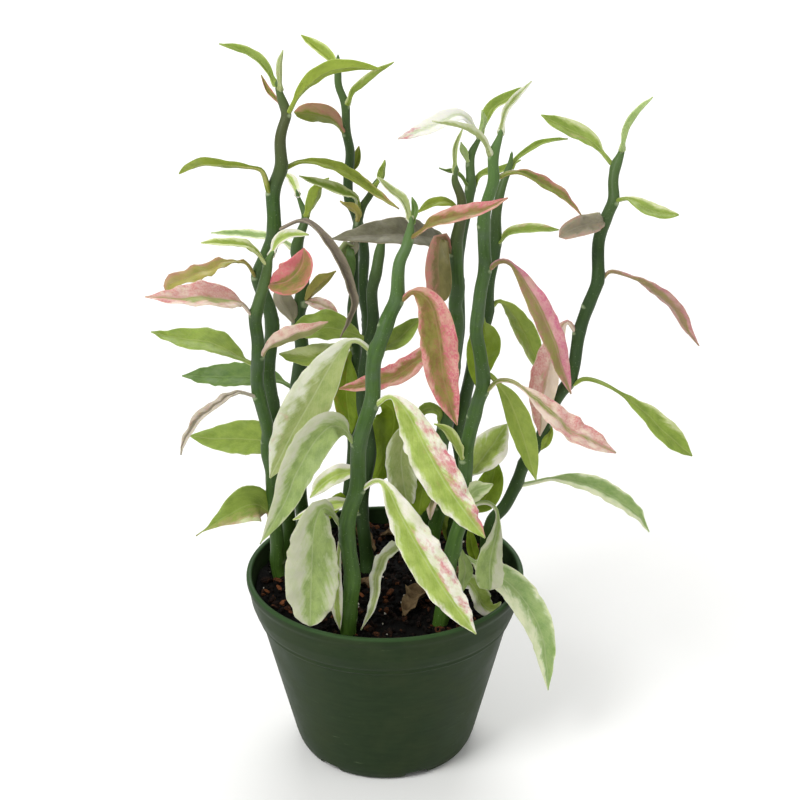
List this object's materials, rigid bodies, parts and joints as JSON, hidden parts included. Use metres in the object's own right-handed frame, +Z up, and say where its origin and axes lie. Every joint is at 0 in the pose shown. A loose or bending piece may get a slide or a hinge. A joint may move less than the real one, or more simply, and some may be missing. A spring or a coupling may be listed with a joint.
{
  "type": "potted variegated devils backbone",
  "caption": "Upright succulent with zigzag stems and drooping cream, pink and green variegated leaves, rooted in potting mix in a round green nursery pot that stands on its flat base.",
  "frame": {"origin": "middle of the pot's flat base, on the surface it stands on", "axes": "+Z up along the pot's axis; the pictured front faces -Y; +X is to the viewer's right"},
  "size_m": [0.2017, 0.1275, 0.2675],
  "materials": {
    "pot_plastic": "injection-moulded dark green polypropylene, satin, lightly scuffed",
    "potting_mix": "moist dark peat and bark crumbs with a few pale grains",
    "stem_skin": "smooth waxy green plant skin with fine lengthwise lines and pale specks",
    "leaf_blade": "waxy succulent leaf, green middle with cream and pink margins"
  },
  "bodies": {
    "root": {"leaf_a4": "leaf_blade", "leaf_a6": "leaf_blade", "leaf_a7": "leaf_blade", "leaf_a8": "leaf_blade", "leaf_b1": "leaf_blade", "leaf_b3": "leaf_blade", "leaf_b4": "leaf_blade", "leaf_b5": "leaf_blade", "leaf_b6": "leaf_blade", "leaf_b7": "leaf_blade", "leaf_b8": "leaf_blade", "leaf_c4": "leaf_blade", "leaf_e11": "leaf_blade", "leaf_e3": "leaf_blade", "leaf_e4": "leaf_blade", "leaf_e5": "leaf_blade", "leaf_e6": "leaf_blade", "leaf_e7": "leaf_blade", "leaf_e8": "leaf_blade", "leaf_e9": "leaf_blade", "leaf_f0": "leaf_blade", "leaf_f1": "leaf_blade", "leaf_f2": "leaf_blade", "leaf_g12": "leaf_blade", "leaf_g13": "leaf_blade", "leaf_g14": "leaf_blade", "leaf_g3": "leaf_blade", "leaf_g4": "leaf_blade", "leaf_g5": "leaf_blade", "leaf_g6": "leaf_blade", "leaf_g9": "leaf_blade", "leaf_h3": "leaf_blade", "leaf_i1": "leaf_blade", "leaf_i2": "leaf_blade", "leaf_i3": "leaf_blade", "leaf_i4": "leaf_blade", "leaf_i5": "leaf_blade", "leaf_i6": "leaf_blade", "leaf_i7": "leaf_blade", "leaf_j6": "leaf_blade", "leaf_k3": "leaf_blade", "leaf_m1": "leaf_blade", "leaf_m2": "leaf_blade", "leaf_p1": "leaf_blade", "leaf_p2": "leaf_blade", "leaf_p3": "leaf_blade", "pot": "pot_plastic", "soil": "potting_mix", "stem_a": "stem_skin", "stem_b": "stem_skin", "stem_c": "stem_skin", "stem_d": "stem_skin", "stem_e": "stem_skin", "stem_f": "stem_skin", "stem_g": "stem_skin", "stem_h": "stem_skin", "stem_i": "stem_skin", "stem_j": "stem_skin", "stem_k": "stem_skin", "stem_m": "stem_skin"}
  },
  "joints": []
}
